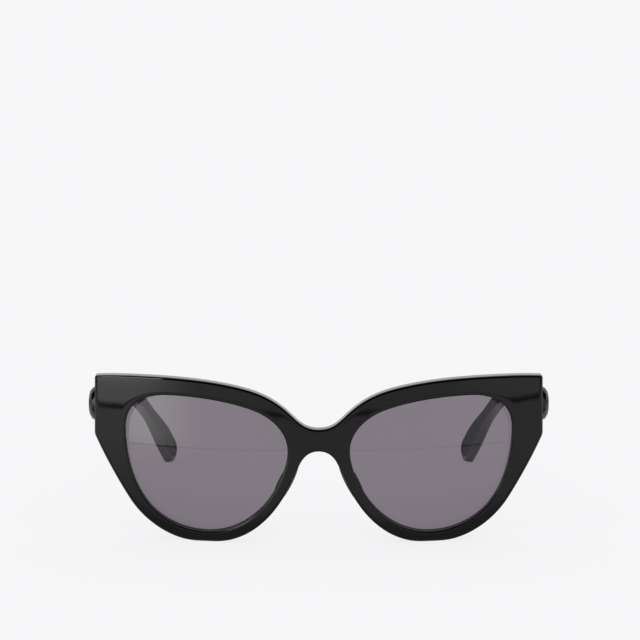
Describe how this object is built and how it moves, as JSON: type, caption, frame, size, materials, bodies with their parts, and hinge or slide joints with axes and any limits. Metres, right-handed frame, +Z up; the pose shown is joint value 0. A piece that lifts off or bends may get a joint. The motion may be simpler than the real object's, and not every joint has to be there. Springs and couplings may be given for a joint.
{
  "type": "cat eye sunglasses",
  "caption": "Cat eye sunglasses: thick glossy acetate front with upswept corners, tinted lenses and folding temples.",
  "frame": {"origin": "middle of the ground the open sunglasses cover, at the height of the rims' and tips' lowest points", "axes": "+Z up, +X to the wearer's left, +Y from the front back along the temples; the front faces -Y"},
  "size_m": [0.1506, 0.1324, 0.0529],
  "materials": {
    "acetate": "polished black cellulose acetate",
    "lens": "clear polished, neutral grey tint",
    "hinge_metal": "satin nickel silver",
    "stud": "faceted and polished black"
  },
  "bodies": {
    "front": {"front_frame": "acetate", "lens_left": "lens", "lens_right": "lens", "nose_pad_left": "acetate", "nose_pad_right": "acetate", "hinge_front_left": "hinge_metal", "hinge_front_right": "hinge_metal", "hinge_screw_left": "hinge_metal", "hinge_screw_right": "hinge_metal"},
    "left_temple": {"temple_left": "acetate", "hinge_temple_left": "hinge_metal", "core_wire_left": "hinge_metal", "temple_stud_left": "stud"},
    "right_temple": {"temple_right": "acetate", "hinge_temple_right": "hinge_metal", "core_wire_right": "hinge_metal", "temple_stud_right": "stud"}
  },
  "joints": [
    {"name": "left_temple_fold", "type": "hinge", "parent": "front", "child": "left_temple", "pos_m": [0.0652, -0.04935, 0.0416], "axis": [0, 0, 1], "range_deg": [0, 85]},
    {"name": "right_temple_fold", "type": "hinge", "parent": "front", "child": "right_temple", "pos_m": [-0.0652, -0.04935, 0.0416], "axis": [0, 0, -1], "range_deg": [0, 80]}
  ]
}
